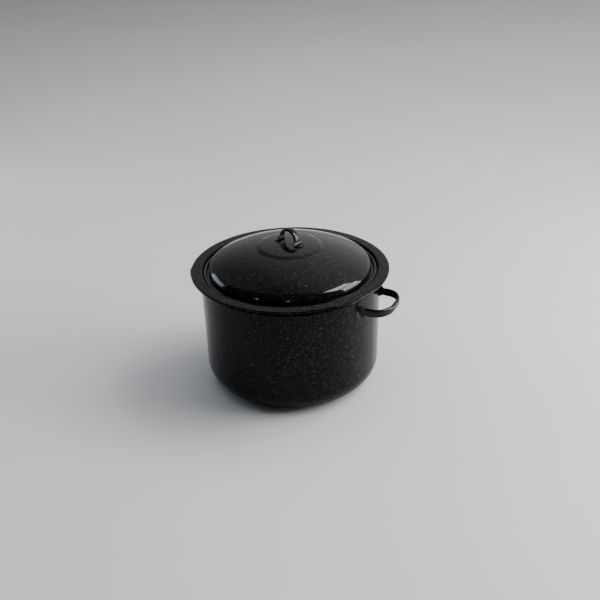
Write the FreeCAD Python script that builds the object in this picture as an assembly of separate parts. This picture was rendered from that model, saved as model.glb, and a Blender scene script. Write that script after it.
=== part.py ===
"""Enamelled steel stock pot with a recessed domed lid, about 15 litres. All sizes are millimetres.

The origin is the centre of the base, +Z is up, and the two side handles lie on +X and -X.
The pot and the lid are pressed sheet: each profile is the middle line of the sheet, a chain of corners
with bend radii, thickened to the sheet's gauge and turned about Z. The handles are straps with rolled
edges and flared feet, spot welded in place, and each weld is a nugget set into the foot and the sheet.
"""

import FreeCAD
import Part
import math
import os

from FreeCAD import Vector

# ---- driving dimensions -------------------------------------------------------------------------------
SHEET = 1.0  # steel with its enamel, both faces
HALF = SHEET / 2

# pot
POT_HEIGHT = 211.0  # floor to the top of the brim
BRIM_RADIUS = 171.0  # outside of the brim
WALL_TOP_RADIUS = 155.0  # outside of the wall, under the seat
WALL_FOOT_RADIUS = 153.2  # outside of the wall, where it would meet the floor
FOOT_BEND = 40.0  # outside radius between wall and base
BASE_PANEL_RADIUS = 78.0  # raised middle of the base, which leaves a ring to stand on
BASE_PANEL_RISE = 1.8
COLLAR_RADIUS = 151.4  # inside of the collar round the lid
SEAT_RADIUS = 146.2  # inside of the ledge that the lid rests on
SEAT_DEPTH = 7.0  # brim top down to the ledge
NECK_DEPTH = 15.5  # brim top down to the start of the neck under the ledge
BRIM_LIP = 3.2  # turned-down edge of the brim

# lid
LID_EDGE_RADIUS = 149.8  # outside of the lid's turned-down edge
LID_CLEARANCE = 0.3  # lid edge above the ledge
LID_CREST_DEPTH = 2.6  # brim top down to the crest of the lid's edge
GROOVE_WIDTH = 4.2
GROOVE_DEPTH = 4.6  # crest down to the floor of the groove round the dome
DOME_RADIUS = 140.2  # outside of the dome's wall
DOME_CURVE = 258.0  # radius of the dome between its shoulder and the boss
DOME_SHOULDER_BEND = 14.0
BOSS_RADIUS = 50.5  # raised middle of the dome
BOSS_EDGE = 57.5  # where the boss meets the dome
BOSS_CURVE = 306.0  # radius of the boss's top
CROWN_HEIGHT = 43.5  # brim top up to the top of the boss
LID_TURN = -15.0  # degrees about Z that the lid's handle is turned from the side handles

# straps
STRAP = 1.4  # strap thickness
CROWNING = 0.8  # how far the strap's back bulges outwards
FOOT_CURVE = 3.5  # bend between a leg and its foot
HANDLE_DROP = 38.7  # brim top down to the middle of a side handle
HANDLE_WIDTH = 14.2
HANDLE_LIP = 2.8  # depth of the side handle's turned edges
HANDLE_FADE = 8.0  # length over which they grow from nothing
HANDLE_SPREAD = 42.1  # middle plane to a leg, at the wall
HANDLE_REACH = 194.4  # axis of the pot to the strap's middle line at the handle's end
FOOT_WIDTH = 24.0
FOOT_LENGTH = 10.0
KNOB_WIDTH = 12.4
KNOB_LIP = 2.3
KNOB_FADE = 4.0
KNOB_SPREAD = 17.9
KNOB_HEIGHT = 24.0  # lid's crown to the strap's middle line at the top
KNOB_FOOT_WIDTH = 18.0
KNOB_FOOT_LENGTH = 9.0
WELD_RADIUS = 2.2
WELD_DEPTH = 0.5  # how far a nugget bites into each sheet
SIDE_WELD_SPACING = 10.0
KNOB_WELD_SPACING = 7.0

SEAT_TOP = POT_HEIGHT - SEAT_DEPTH
CROWN = POT_HEIGHT + CROWN_HEIGHT
HANDLE_LEVEL = POT_HEIGHT - HANDLE_DROP
FAR = 500.0  # beyond every part of a strap
Z_AXIS = Vector(0, 0, 1)
ORIGIN = Vector(0, 0, 0)


# ---- sheet profiles -----------------------------------------------------------------------------------
def unit(v):
    return v.normalize() if v.Length else v


def left_of(direction):
    """The direction a quarter turn to the left, in the XY plane of a profile."""
    return Vector(-direction.y, direction.x, 0)


def cross_z(a, b):
    return a.x * b.y - a.y * b.x


def offset_corners(corners, distance):
    """The corners of an open chain moved to its left by a distance, keeping each side parallel."""
    moved = []
    for i, corner in enumerate(corners):
        before = unit(corner - corners[i - 1]) if i else None
        after = unit(corners[i + 1] - corner) if i + 1 < len(corners) else None
        if before is None or after is None:
            moved.append(corner + left_of(before or after) * distance)
            continue
        mitre = unit(left_of(before) + left_of(after))
        moved.append(corner + mitre * (distance / mitre.dot(left_of(before))))
    return moved


def rounded_chain(corners, bends):
    """Edges of an open chain of corners, each inner corner rounded to its bend radius."""
    edges = []
    start = corners[0]
    for i in range(1, len(corners) - 1):
        before = unit(corners[i] - corners[i - 1])
        after = unit(corners[i + 1] - corners[i])
        half_turn = before.getAngle(after) / 2
        setback = bends[i - 1] * math.tan(half_turn)
        into = corners[i] - before * setback
        out_of = corners[i] + after * setback
        inward = unit(after - before)
        middle = corners[i] + inward * bends[i - 1] * (1 / math.cos(half_turn) - 1)
        if (into - start).Length > 1e-6:
            edges.append(Part.LineSegment(start, into).toShape())
        edges.append(Part.Arc(into, middle, out_of).toShape())
        start = out_of
    if (corners[-1] - start).Length > 1e-6:
        edges.append(Part.LineSegment(start, corners[-1]).toShape())
    return edges


def sheet_face(corners, bends, thickness):
    """A flat face that is the open chain thickened evenly to both sides."""
    sides = []
    for distance in (thickness / 2, -thickness / 2):
        radii = []
        for i, bend in enumerate(bends):
            turn = cross_z(corners[i + 1] - corners[i], corners[i + 2] - corners[i + 1])
            radii.append(bend - distance * math.copysign(1, turn))
        sides.append((offset_corners(corners, distance), radii))
    left, right = (rounded_chain(*side) for side in sides)
    ends = [
        Part.LineSegment(sides[0][0][k], sides[1][0][k]).toShape() for k in (0, -1)
    ]
    return Part.Face(Part.Wire(Part.__sortEdges__(left + right + ends)))


def turned_sheet(stations):
    """The solid of a sheet whose middle line is a list of (radius, height, bend), turned about Z."""
    corners = [Vector(r, z, 0) for r, z, _ in stations]
    bends = [bend for _, _, bend in stations[1:-1]]
    face = sheet_face(corners, bends, SHEET)
    face.rotate(ORIGIN, Vector(1, 0, 0), 90)
    return face.revolve(ORIGIN, Z_AXIS, 360)


# ---- pot and lid --------------------------------------------------------------------------------------
def wall_radius(z):
    """Outside radius of the tapered wall at a height."""
    top = POT_HEIGHT - NECK_DEPTH
    return WALL_FOOT_RADIUS + (WALL_TOP_RADIUS - WALL_FOOT_RADIUS) * z / top


def pot_shell():
    brim = POT_HEIGHT - HALF
    seat = SEAT_TOP - HALF
    nose = SEAT_RADIUS + HALF
    collar = COLLAR_RADIUS + HALF
    lip = BRIM_RADIUS - HALF
    return turned_sheet(
        [
            (0, HALF + BASE_PANEL_RISE, 0),
            (BASE_PANEL_RADIUS, HALF + BASE_PANEL_RISE, 8),
            (BASE_PANEL_RADIUS + 7, HALF, 8),
            (wall_radius(0) - HALF, HALF, FOOT_BEND - HALF),
            (WALL_TOP_RADIUS - HALF, POT_HEIGHT - NECK_DEPTH, 3.0),
            (nose, seat - 3.6, 2.0),
            (nose, seat, 1.3),
            (collar, seat, 1.3),
            (collar, brim, 1.9),
            (lip, brim, 1.5),
            (lip, POT_HEIGHT - BRIM_LIP, 0),
        ]
    )


def boss_drop(radius):
    """How far the boss's top has curved down from the crown at a radius."""
    return BOSS_CURVE - math.sqrt(BOSS_CURVE**2 - radius**2)


def lid_shell():
    crown = CROWN - HALF
    crest = POT_HEIGHT - LID_CREST_DEPTH - HALF
    groove = crest - GROOVE_DEPTH
    wall = DOME_RADIUS - HALF
    edge = LID_EDGE_RADIUS - HALF
    return turned_sheet(
        [
            (0, crown, 0),
            (0.49 * BOSS_RADIUS, crown, BOSS_CURVE - HALF),
            (BOSS_RADIUS, crown - boss_drop(BOSS_RADIUS), 10),
            (BOSS_EDGE, POT_HEIGHT + 36.0, 10),
            (92.6, POT_HEIGHT + 29.7, DOME_CURVE),
            (wall, POT_HEIGHT + 7.7, DOME_SHOULDER_BEND - HALF),
            (wall, groove, 1.5),
            (wall + GROOVE_WIDTH, groove, 1.5),
            (wall + GROOVE_WIDTH + 1.4, crest, 1.2),
            (edge, crest, 1.6),
            (edge, SEAT_TOP + LID_CLEARANCE, 0),
        ]
    )


# ---- straps -------------------------------------------------------------------------------------------
def arc_about(centre, radius, start_deg, end_deg):
    """A circular edge about a centre in the XY plane, between two angles in degrees."""
    points = []
    for angle in (start_deg, (start_deg + end_deg) / 2, end_deg):
        a = math.radians(angle)
        points.append(centre + Vector(math.cos(a), math.sin(a), 0) * radius)
    return Part.Arc(*points).toShape()


def mirrored_chain(edges):
    """Edges of one half of a strap's middle line, from its foot to the X axis, joined to their mirror."""
    other = [e.mirror(ORIGIN, Vector(0, 1, 0)) for e in edges]
    return Part.Wire(Part.__sortEdges__(edges + other))


def swept(profile, path):
    return path.makePipeShell([profile], True, False)


def foot_blank(path, width, foot_width, taper_start, taper_end, foot_tip):
    """The flat end parts of a strap whose middle line is a path in the XY plane, up to taper_end along X:
    foot_width wide up to taper_start, width wide at taper_end, and rounded off at the feet's tips."""
    start = path.OrderedVertexes[0].Point
    along = path.OrderedEdges[0].tangentAt(path.OrderedEdges[0].FirstParameter)
    side = left_of(unit(Vector(along.x, along.y, 0)))
    half_foot = foot_width / 2
    corners = [
        start + side * (s * STRAP / 2) + Vector(0, 0, z)
        for s, z in ((1, -half_foot), (1, half_foot), (-1, half_foot), (-1, -half_foot))
    ]
    band = swept(Part.makePolygon(corners + corners[:1]), path)

    half = width / 2
    side_view = [
        (-FAR, -half_foot), (taper_start, -half_foot), (taper_end, -half),
        (taper_end, half), (taper_start, half_foot), (-FAR, half_foot),
    ]
    outline = [Vector(x, -FAR, z) for x, z in side_view]
    keep = Part.Face(Part.makePolygon(outline + outline[:1])).extrude(Vector(0, 2 * FAR, 0))
    tip = Part.Face(Part.Wire(end_view(foot_tip, half_foot))).extrude(Vector(2 * FAR, 0, 0))
    tip.translate(Vector(-FAR, 0, 0))
    return band.common(keep).common(tip)


def end_view(foot_tip, half_foot):
    """Outline in the YZ plane of a strap's two feet: straight sides and rounded tips."""
    corner = foot_tip - half_foot * 0.8
    edges = []
    for side in (1, -1):
        top, bottom = (Vector(0, side * corner, z * half_foot) for z in (1, -1))
        edges.append(Part.Arc(top, Vector(0, side * foot_tip, 0), bottom).toShape())
    for z in (1, -1):
        ends = [Vector(0, s * corner, z * half_foot) for s in (1, -1)]
        edges.append(Part.LineSegment(*ends).toShape())
    return Part.__sortEdges__(edges)


def channel(path, width, lip, fade):
    """The bow of a strap along a path: a crowned back, and edges turned inwards that grow from each leg."""
    start = path.OrderedVertexes[0].Point
    along = path.OrderedEdges[0].tangentAt(path.OrderedEdges[0].FirstParameter)
    outward = left_of(unit(Vector(along.x, along.y, 0)))
    if outward.y * start.y < 0:
        outward = outward * -1
    half = (width - STRAP) / 2
    section = [
        Vector(-lip, half, 0), Vector(0, half - 0.6, 0), Vector(CROWNING, 0, 0),
        Vector(0, 0.6 - half, 0), Vector(-lip, -half, 0),
    ]
    face = sheet_face(section, [2.5, 20, 2.5], STRAP)
    turn = FreeCAD.Rotation(outward, Z_AXIS, outward.cross(Z_AXIS), "XYZ")
    face.Placement = FreeCAD.Placement(start, turn)
    bow = swept(face.OuterWire, path)

    leg = abs(start.y) - STRAP / 2
    deep = leg - 2 * lip
    ramp = [(start.x - 1, leg), (start.x, leg), (start.x + 2 * fade, deep), (start.x - 1, deep)]
    outline = [Vector(x, y, -width) for x, y in ramp]
    cutter = Part.Face(Part.makePolygon(outline + outline[:1])).extrude(Vector(0, 0, 2 * width))
    return bow.cut([cutter, cutter.mirror(ORIGIN, Vector(0, 1, 0))])


# ---- side handles -------------------------------------------------------------------------------------
def side_bow(leg_start):
    """Edges of half of a side handle's bow, from its leg at leg_start along X to the X axis."""
    corners = [
        Vector(leg_start, HANDLE_SPREAD, 0),
        Vector(HANDLE_REACH - 25.0, HANDLE_SPREAD, 0),
        Vector(HANDLE_REACH - 12.2, HANDLE_SPREAD - 3.0, 0),
        Vector(HANDLE_REACH, 19.5, 0),
        Vector(HANDLE_REACH, 0, 0),
    ]
    return rounded_chain(corners, [26, 23, 34])


def side_handle():
    """The handle on +X: a foot along the wall on each side, a bend, and the bow."""
    on_wall = wall_radius(HANDLE_LEVEL) + STRAP / 2
    bend_y = HANDLE_SPREAD + FOOT_CURVE
    bend_x = math.sqrt((on_wall + FOOT_CURVE) ** 2 - bend_y**2)
    lean = math.degrees(math.atan2(bend_y, bend_x))
    foot_end = lean + math.degrees((FOOT_LENGTH + FOOT_CURVE) / on_wall)
    feet = [
        arc_about(ORIGIN, on_wall, foot_end, lean),
        arc_about(Vector(bend_x, bend_y, 0), FOOT_CURVE, 180 + lean, 270),
    ]
    path = mirrored_chain(feet + side_bow(bend_x))
    blank = foot_blank(path, HANDLE_WIDTH, FOOT_WIDTH, bend_x - 3, bend_x + 4, bend_y + FOOT_LENGTH)
    bow = channel(mirrored_chain(side_bow(bend_x + 2)), HANDLE_WIDTH, HANDLE_LIP, HANDLE_FADE)
    shape = blank.fuse(bow).removeSplitter()
    shape.translate(Vector(0, 0, HANDLE_LEVEL))
    return shape


# ---- lid handle ---------------------------------------------------------------------------------------
def knob_bow(leg_start):
    """Edges of half of the lid handle's bow, from its leg at leg_start along X to the X axis."""
    corners = [
        Vector(leg_start, KNOB_SPREAD, 0),
        Vector(KNOB_HEIGHT, KNOB_SPREAD, 0),
        Vector(KNOB_HEIGHT, 0, 0),
    ]
    return rounded_chain(corners, [KNOB_SPREAD - 1.0])


def lid_handle():
    """The lid's handle, drawn lying along X with its feet on the boss, and then stood up on the lid."""
    centre = Vector(-BOSS_CURVE, 0, 0)
    on_boss = BOSS_CURVE + STRAP / 2
    bend_y = KNOB_SPREAD + FOOT_CURVE
    bend_x = math.sqrt((on_boss + FOOT_CURVE) ** 2 - bend_y**2) - BOSS_CURVE
    tip = bend_y + KNOB_FOOT_LENGTH
    lean = math.degrees(math.atan2(bend_y, bend_x + BOSS_CURVE))
    foot_end = lean + math.degrees((KNOB_FOOT_LENGTH + FOOT_CURVE) / on_boss)
    feet = [
        arc_about(centre, on_boss, foot_end, lean),
        arc_about(Vector(bend_x, bend_y, 0), FOOT_CURVE, 180 + lean, 270),
    ]
    path = mirrored_chain(feet + knob_bow(bend_x))
    blank = foot_blank(path, KNOB_WIDTH, KNOB_FOOT_WIDTH, bend_x - 2, bend_x + 4, tip)
    bow = channel(mirrored_chain(knob_bow(bend_x + 2)), KNOB_WIDTH, KNOB_LIP, KNOB_FADE)
    shape = blank.fuse(bow).removeSplitter()
    shape.rotate(ORIGIN, Vector(0, 1, 0), -90)
    shape.rotate(ORIGIN, Z_AXIS, 90 + LID_TURN)
    shape.translate(Vector(0, 0, CROWN))
    return shape


# ---- welds --------------------------------------------------------------------------------------------
def nugget(point, outward):
    """A spot weld's nugget: a short round slug through the joint face at a point."""
    base = point - outward * WELD_DEPTH
    return Part.makeCylinder(WELD_RADIUS, 2 * WELD_DEPTH, base, outward)


def side_welds():
    """Two nuggets, one above the other, in each foot of the handle on +X."""
    r = wall_radius(HANDLE_LEVEL)
    lean = math.asin((HANDLE_SPREAD + FOOT_CURVE) / r) + FOOT_LENGTH * 0.45 / r
    found = []
    for angle in (lean, -lean):
        outward = Vector(math.cos(angle), math.sin(angle), 0)
        for rise in (SIDE_WELD_SPACING / 2, -SIDE_WELD_SPACING / 2):
            z = HANDLE_LEVEL + rise
            found.append(nugget(outward * wall_radius(z) + Vector(0, 0, z), outward))
    return found


def lid_welds():
    """Two nuggets, side by side, in each foot of the lid's handle."""
    reach = KNOB_SPREAD + FOOT_CURVE + KNOB_FOOT_LENGTH * 0.42
    centre = Vector(0, 0, CROWN - BOSS_CURVE)
    found = []
    for along in (reach, -reach):
        for across in (KNOB_WELD_SPACING / 2, -KNOB_WELD_SPACING / 2):
            outward = unit(Vector(along, across, CROWN - boss_drop(reach)) - centre)
            found.append(nugget(centre + outward * BOSS_CURVE, outward))
    group = Part.makeCompound(found)
    group.rotate(ORIGIN, Z_AXIS, LID_TURN)
    return group.Solids


# ---- assembly -----------------------------------------------------------------------------------------
def half_turn(shapes):
    turned = [s.copy() for s in shapes]
    for s in turned:
        s.rotate(ORIGIN, Z_AXIS, 180)
    return turned


def build():
    """Every node of the pot by name, each a list of solids."""
    pot = pot_shell()
    lid = lid_shell()
    handle = side_handle().cut(pot)
    welds = {"right": side_welds(), "left": half_turn(side_welds())}
    handles = {"right": handle, "left": half_turn([handle])[0]}
    knob_welds = lid_welds()

    nodes = {
        "pot_shell": pot.cut(welds["right"] + welds["left"]),
        "lid_shell": lid.cut(knob_welds),
        "lid_handle": lid_handle().cut([lid] + knob_welds),
        "lid_handle_welds": Part.makeCompound(knob_welds),
    }
    for side in ("left", "right"):
        nodes[side + "_handle"] = handles[side].cut(welds[side])
        nodes[side + "_handle_welds"] = Part.makeCompound(welds[side])
    return nodes


def main():
    os.makedirs("parts", exist_ok=True)
    for name, shape in build().items():
        solids = shape.Solids
        whole = solids[0] if len(solids) == 1 else Part.makeCompound(solids)
        whole.exportStep(os.path.join("parts", name + ".step"))
        box = whole.BoundBox
        print(
            f"{name}: {len(solids)} solids, valid {whole.isValid()}, {whole.Volume / 1000:.2f} cm3, "
            f"z {box.ZMin:.2f} to {box.ZMax:.2f}, x {box.XMin:.2f} to {box.XMax:.2f}"
        )


main()
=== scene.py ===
import math

import bpy
from mathutils import Matrix, Vector

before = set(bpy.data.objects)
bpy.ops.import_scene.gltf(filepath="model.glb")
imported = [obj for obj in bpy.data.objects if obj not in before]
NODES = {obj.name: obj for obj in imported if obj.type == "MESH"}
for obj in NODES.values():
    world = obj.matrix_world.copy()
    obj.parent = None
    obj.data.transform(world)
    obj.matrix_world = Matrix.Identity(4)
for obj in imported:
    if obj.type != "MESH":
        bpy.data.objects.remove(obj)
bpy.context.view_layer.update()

SCENE = bpy.context.scene

# Lengths are in metres, angles in degrees and light powers in watts, unless a comment says otherwise.
VIEW_TURN = 27.2                     # side of the pot that faces the camera, about Z from -Y
CAMERA_PLACE = (0, -1.2516, 0.8045)  # before that turn
CAMERA_PAN = 0.713                   # to the right of the pot's middle
CAMERA_DOWN = 27.89
CAMERA_ROLL = -1.60
CAMERA_LENS = 48                     # millimetres
CAMERA_SENSOR = 36                   # millimetres
VIEW_END = 60
FLOOR_HALF = 14.0
LIGHT_AIM = (0, 0, 0.15)

OBJECT_COORDINATES = 3               # output of a texture coordinate node
MIX_A, MIX_B, MIX_RESULT = 6, 7, 2   # colour sockets of a mix node
ENAMEL_IOR = 1.5
BLACK_GROUND = (0.0014, 0.0014, 0.0015, 1)
FLECK_CUT = 0.625                    # noise level above which a fleck shows, before the share is moved


# ---- camera -------------------------------------------------------------------------------------------
def camera():
    place = Matrix.Rotation(math.radians(VIEW_TURN), 4, "Z") @ Vector(CAMERA_PLACE)
    pan = Matrix.Rotation(math.radians(VIEW_TURN - CAMERA_PAN), 4, "Z")
    tilt = Matrix.Rotation(math.radians(90 - CAMERA_DOWN), 4, "X")
    roll = Matrix.Rotation(math.radians(CAMERA_ROLL), 4, "Z")
    data = bpy.data.cameras.new("camera")
    data.lens = CAMERA_LENS
    data.sensor_width = CAMERA_SENSOR
    data.clip_end = VIEW_END
    obj = bpy.data.objects.new("camera", data)
    obj.matrix_world = Matrix.Translation(place) @ pan @ tilt @ roll
    SCENE.collection.objects.link(obj)
    SCENE.camera = obj


# ---- node helpers -------------------------------------------------------------------------------------
class Nodes:
    """A short way to write a node tree: each call adds a node and returns its output socket."""

    def __init__(self, name):
        self.material = bpy.data.materials.new(name)
        self.material.use_nodes = True
        self.tree = self.material.node_tree
        self.shader = self.tree.nodes["Principled BSDF"]

    def feed(self, socket, value):
        if isinstance(value, bpy.types.NodeSocket):
            self.tree.links.new(value, socket)
        else:
            socket.default_value = value

    def where(self):
        return self.tree.nodes.new("ShaderNodeTexCoord").outputs[OBJECT_COORDINATES]

    def math(self, operation, a, b=0.0):
        node = self.tree.nodes.new("ShaderNodeMath")
        node.operation = operation
        self.feed(node.inputs[0], a)
        self.feed(node.inputs[1], b)
        return node.outputs[0]

    def noise(self, where, scale, detail=2.0, roughness=0.5, distortion=0.0):
        node = self.tree.nodes.new("ShaderNodeTexNoise")
        for key, value in (("Vector", where), ("Scale", scale), ("Detail", detail),
                           ("Roughness", roughness), ("Distortion", distortion)):
            self.feed(node.inputs[key], value)
        return node.outputs[0]

    def ramp(self, value, low, high, out_low=0.0, out_high=1.0):
        node = self.tree.nodes.new("ShaderNodeMapRange")
        node.clamp = True
        self.feed(node.inputs["Value"], value)
        for key, number in (("From Min", low), ("From Max", high), ("To Min", out_low), ("To Max", out_high)):
            self.feed(node.inputs[key], number)
        return node.outputs[0]

    def colour(self, factor, a, b):
        node = self.tree.nodes.new("ShaderNodeMix")
        node.data_type = "RGBA"
        self.feed(node.inputs[0], factor)
        self.feed(node.inputs[MIX_A], a)
        self.feed(node.inputs[MIX_B], b)
        return node.outputs[MIX_RESULT]

    def bump(self, height, distance, strength=1.0, normal=None):
        node = self.tree.nodes.new("ShaderNodeBump")
        node.inputs["Strength"].default_value = strength
        node.inputs["Distance"].default_value = distance
        self.feed(node.inputs["Height"], height)
        if normal is not None:
            self.feed(node.inputs["Normal"], normal)
        return node.outputs[0]

    def set(self, **inputs):
        """Feed the shader's own sockets. An underscore in a name stands for a space."""
        for key, value in inputs.items():
            self.feed(self.shader.inputs[key.replace("_", " ")], value)
        return self.material


# ---- materials ----------------------------------------------------------------------------------------
def lighter(colour, factor):
    return [c * factor for c in colour[:3]] + [1]


def speckled_enamel(name, fleck, share, gloss, peel, specular):
    """Black vitreous enamel with pale flecks fired into it. share moves how much of it is flecks."""
    n = Nodes(name)
    where = n.where()
    clusters = n.noise(where, scale=110, detail=3.0, roughness=0.6)
    fine = n.noise(where, scale=900, detail=2.0, roughness=0.55, distortion=0.4)
    coarse = n.noise(where, scale=450, detail=3.0, roughness=0.65, distortion=0.8)
    lift = n.ramp(clusters, 0.3, 0.7, out_low=0.045, out_high=-0.045)
    cut = n.math("ADD", lift, FLECK_CUT - share)
    fine_mask = n.ramp(n.math("SUBTRACT", fine, cut), 0.0, 0.05)
    coarse_mask = n.ramp(n.math("SUBTRACT", coarse, n.math("ADD", cut, 0.03)), 0.0, 0.03)
    mask = n.math("MAXIMUM", fine_mask, coarse_mask)
    tone = n.ramp(n.noise(where, scale=900, detail=1.0), 0.3, 0.7, out_low=0.35, out_high=1.0)
    flecks = n.math("MULTIPLY", mask, tone)
    drift = n.ramp(n.noise(where, scale=14, detail=4.0, roughness=0.6), 0.35, 0.65)
    ground = n.colour(drift, BLACK_GROUND, lighter(BLACK_GROUND, 1.35))
    haze = n.noise(where, scale=22, detail=5.0, roughness=0.62)
    rough = n.ramp(haze, 0.3, 0.72, out_low=gloss, out_high=gloss * 1.7)
    rough = n.math("ADD", rough, n.math("MULTIPLY", mask, 0.05))
    waves = n.bump(n.noise(where, scale=38), distance=0.00025, strength=peel)
    fine_peel = n.bump(n.noise(where, scale=330), distance=0.00003, strength=peel, normal=waves)
    grain = n.bump(mask, distance=0.00002, strength=0.5, normal=fine_peel)
    return n.set(Base_Color=n.colour(flecks, ground, fleck), Roughness=rough, Normal=grain,
                 IOR=ENAMEL_IOR, Specular_IOR_Level=specular)


def plain_enamel(name, base, gloss, specular):
    """Glossy black enamel with no flecks, pooled a little unevenly."""
    n = Nodes(name)
    where = n.where()
    pooled = n.ramp(n.noise(where, scale=60, detail=4.0, roughness=0.6), 0.3, 0.7)
    ground = n.colour(pooled, base, lighter(base, 1.8))
    haze = n.noise(where, scale=45, detail=5.0, roughness=0.6)
    rough = n.ramp(haze, 0.3, 0.7, out_low=gloss, out_high=gloss * 2.0)
    waves = n.bump(n.noise(where, scale=90), distance=0.00015, strength=0.6)
    peel = n.bump(n.noise(where, scale=500), distance=0.00002, strength=0.6, normal=waves)
    return n.set(Base_Color=ground, Roughness=rough, Normal=peel, IOR=ENAMEL_IOR,
                 Specular_IOR_Level=specular)


def weld_steel():
    """Bare steel of a spot weld, tinted by its heat."""
    n = Nodes("weld_steel")
    where = n.where()
    heat = n.ramp(n.noise(where, scale=400, detail=4.0, roughness=0.6), 0.35, 0.65)
    rough = n.ramp(n.noise(where, scale=700, detail=3.0), 0.3, 0.7, out_low=0.3, out_high=0.55)
    colour = n.colour(heat, (0.42, 0.42, 0.43, 1), (0.30, 0.26, 0.22, 1))
    dimples = n.bump(heat, distance=0.00005, strength=0.6)
    return n.set(Base_Color=colour, Metallic=1.0, Roughness=rough, Normal=dimples)


def floor_paint():
    """Pale matt paint with a faint drift of tone."""
    n = Nodes("floor")
    where = n.where()
    drift = n.ramp(n.noise(where, scale=1.3, detail=3.0), 0.3, 0.7)
    colour = n.colour(drift, (0.56, 0.565, 0.58, 1), (0.60, 0.60, 0.605, 1))
    grain = n.bump(n.noise(where, scale=220, detail=3.0), distance=0.0002, strength=0.3)
    return n.set(Base_Color=colour, Roughness=0.62, Normal=grain)


def paint(node, material):
    for slot in NODES[node].material_slots:
        slot.link = "OBJECT"
        slot.material = material
    faces = NODES[node].data.polygons
    faces.foreach_set("use_smooth", [True] * len(faces))


# ---- stage --------------------------------------------------------------------------------------------
def floor():
    half = FLOOR_HALF
    corners = [(-half, -half, 0), (half, -half, 0), (half, half, 0), (-half, half, 0)]
    mesh = bpy.data.meshes.new("floor")
    mesh.from_pydata(corners, [], [(0, 1, 2, 3)])
    obj = bpy.data.objects.new("floor", mesh)
    SCENE.collection.objects.link(obj)
    mesh.materials.append(floor_paint())


def away_from_camera(azimuth, elevation):
    """A direction, with azimuth measured about Z from the camera's own side, to its right."""
    turn = math.radians(VIEW_TURN + azimuth)
    up = math.radians(elevation)
    return Vector((math.sin(turn) * math.cos(up), -math.cos(turn) * math.cos(up), math.sin(up)))


def area_light(name, azimuth, elevation, distance, size, power, colour, seen=True, lit=True):
    """A soft panel facing the pot. seen: it shows in reflections. lit: it lights matt surfaces."""
    away = away_from_camera(azimuth, elevation)
    data = bpy.data.lights.new(name, "AREA")
    data.shape = "RECTANGLE"
    data.size, data.size_y = size
    data.energy = power
    data.color = colour
    obj = bpy.data.objects.new(name, data)
    obj.location = Vector(LIGHT_AIM) + away * distance
    obj.rotation_euler = away.to_track_quat("Z", "Y").to_euler()
    obj.visible_glossy = seen
    obj.visible_diffuse = lit
    SCENE.collection.objects.link(obj)


def room():
    """Soft grey surroundings: a pale screen behind, brighter to the right, and a darker room in front."""
    world = bpy.data.worlds.new("room")
    world.use_nodes = True
    tree = world.node_tree
    where = tree.nodes.new("ShaderNodeTexCoord")
    levels = []
    for direction, low, high, dark, bright in (
        (away_from_camera(180, 0), 0.10, 0.45, 0.05, 0.25),
        (away_from_camera(132, 20), 0.25, 1.00, 0.00, 0.62),
    ):
        facing = tree.nodes.new("ShaderNodeVectorMath")
        facing.operation = "DOT_PRODUCT"
        tree.links.new(where.outputs["Generated"], facing.inputs[0])
        facing.inputs[1].default_value = direction
        level = tree.nodes.new("ShaderNodeMapRange")
        level.interpolation_type = "SMOOTHSTEP"
        for key, number in (("From Min", low), ("From Max", high), ("To Min", dark), ("To Max", bright)):
            level.inputs[key].default_value = number
        tree.links.new(facing.outputs["Value"], level.inputs["Value"])
        levels.append(level.outputs[0])
    total = tree.nodes.new("ShaderNodeMath")
    for level, socket in zip(levels, total.inputs):
        tree.links.new(level, socket)
    back = tree.nodes["Background"]
    back.inputs["Color"].default_value = (0.985, 0.97, 0.985, 1)
    tree.links.new(total.outputs[0], back.inputs["Strength"])
    SCENE.world = world


def lights():
    daylight, far_daylight, sky = (1.0, 0.985, 0.965), (1.0, 0.99, 0.975), (0.93, 0.96, 1.0)
    window, blue_window, warm_lamp = (1.0, 0.99, 0.97), (0.72, 0.86, 1.0), (1.0, 0.74, 0.48)
    # name, azimuth, elevation, distance, size, power, colour
    area_light("daylight", 84, 40, 2.0, (1.5, 1.5), 21, daylight, seen=False)
    area_light("far_daylight", 112, 48, 6.0, (3.0, 3.0), 210, far_daylight, seen=False)
    area_light("overhead", 160, 82, 2.8, (3.6, 3.6), 52, sky, seen=False)
    area_light("window_right_low", 88, 0, 1.7, (0.95, 0.30), 14, window)
    area_light("window_right_high", 86, 20, 1.75, (0.85, 0.55), 24, window)
    area_light("window_right_top", 84, 47, 1.75, (0.85, 0.70), 30, window, lit=False)
    area_light("window_left", -116, 12, 1.8, (1.0, 0.8), 9, blue_window)
    area_light("lamp_a", -4, 8, 2.2, (0.09, 0.09), 2.2, warm_lamp, lit=False)
    area_light("lamp_b", -44, 8, 2.2, (0.09, 0.09), 2.2, warm_lamp, lit=False)


camera()
floor()
lights()
room()
POT = speckled_enamel("speckled_enamel_pot", fleck=(0.125, 0.118, 0.105, 1), share=-0.016,
                      gloss=0.13, peel=0.5, specular=0.10)
LID = speckled_enamel("speckled_enamel_lid", fleck=(0.085, 0.08, 0.073, 1), share=-0.020,
                      gloss=0.06, peel=0.35, specular=0.30)
HANDLE = plain_enamel("black_enamel_handle", (0.004, 0.004, 0.0045, 1), gloss=0.07, specular=0.22)
WELD = weld_steel()
paint("pot_shell", POT)
paint("lid_shell", LID)
for handle in ("right_handle", "left_handle", "lid_handle"):
    paint(handle, HANDLE)
    paint(handle + "_welds", WELD)
